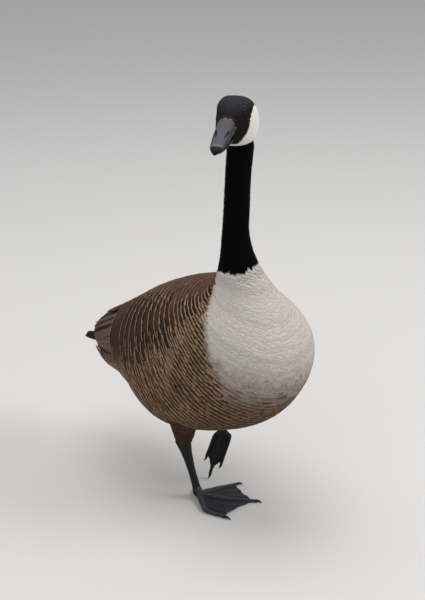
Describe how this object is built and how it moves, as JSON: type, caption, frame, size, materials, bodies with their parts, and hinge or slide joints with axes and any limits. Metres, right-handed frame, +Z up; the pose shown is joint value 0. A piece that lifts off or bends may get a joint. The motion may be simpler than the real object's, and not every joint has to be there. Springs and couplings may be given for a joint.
{
  "type": "canada goose",
  "caption": "Life-size still model of a Canada goose mid stride, head turned to its right, one foot planted and the other trailing on its toe tips.",
  "frame": {"origin": "centre of the bounding box at floor level", "axes": "+Z up, the breast points to -Y, the bird's left side is +X"},
  "size_m": [0.2282, 0.5703, 0.6989],
  "materials": {
    "head_feathers": "soft velvety black with a white cheek patch",
    "neck_feathers": "soft velvety black",
    "body_feathers": "grey-brown barred feathers, white on the breast",
    "wing_feathers": "brown feathers with pale fringes",
    "tail_feathers": "black, slightly glossy",
    "thigh_feathers": "short brown feathers",
    "bill": "satin slate horn",
    "eye": "wet gloss",
    "leg_skin": "scaly blackish skin",
    "claw": "worn horn"
  },
  "bodies": {
    "root": {"head": "head_feathers", "bill_upper": "bill", "bill_lower": "bill", "eye_left": "eye", "eye_right": "eye", "neck": "neck_feathers", "torso": "body_feathers", "wing_left": "wing_feathers", "wing_right": "wing_feathers", "tail": "tail_feathers", "thigh_left": "thigh_feathers", "shank_left": "leg_skin", "foot_left": "leg_skin", "claw_left_inner": "claw", "claw_left_middle": "claw", "claw_left_outer": "claw", "thigh_right": "thigh_feathers", "shank_right": "leg_skin", "foot_right": "leg_skin", "claw_right_inner": "claw", "claw_right_middle": "claw", "claw_right_outer": "claw"}
  },
  "joints": []
}
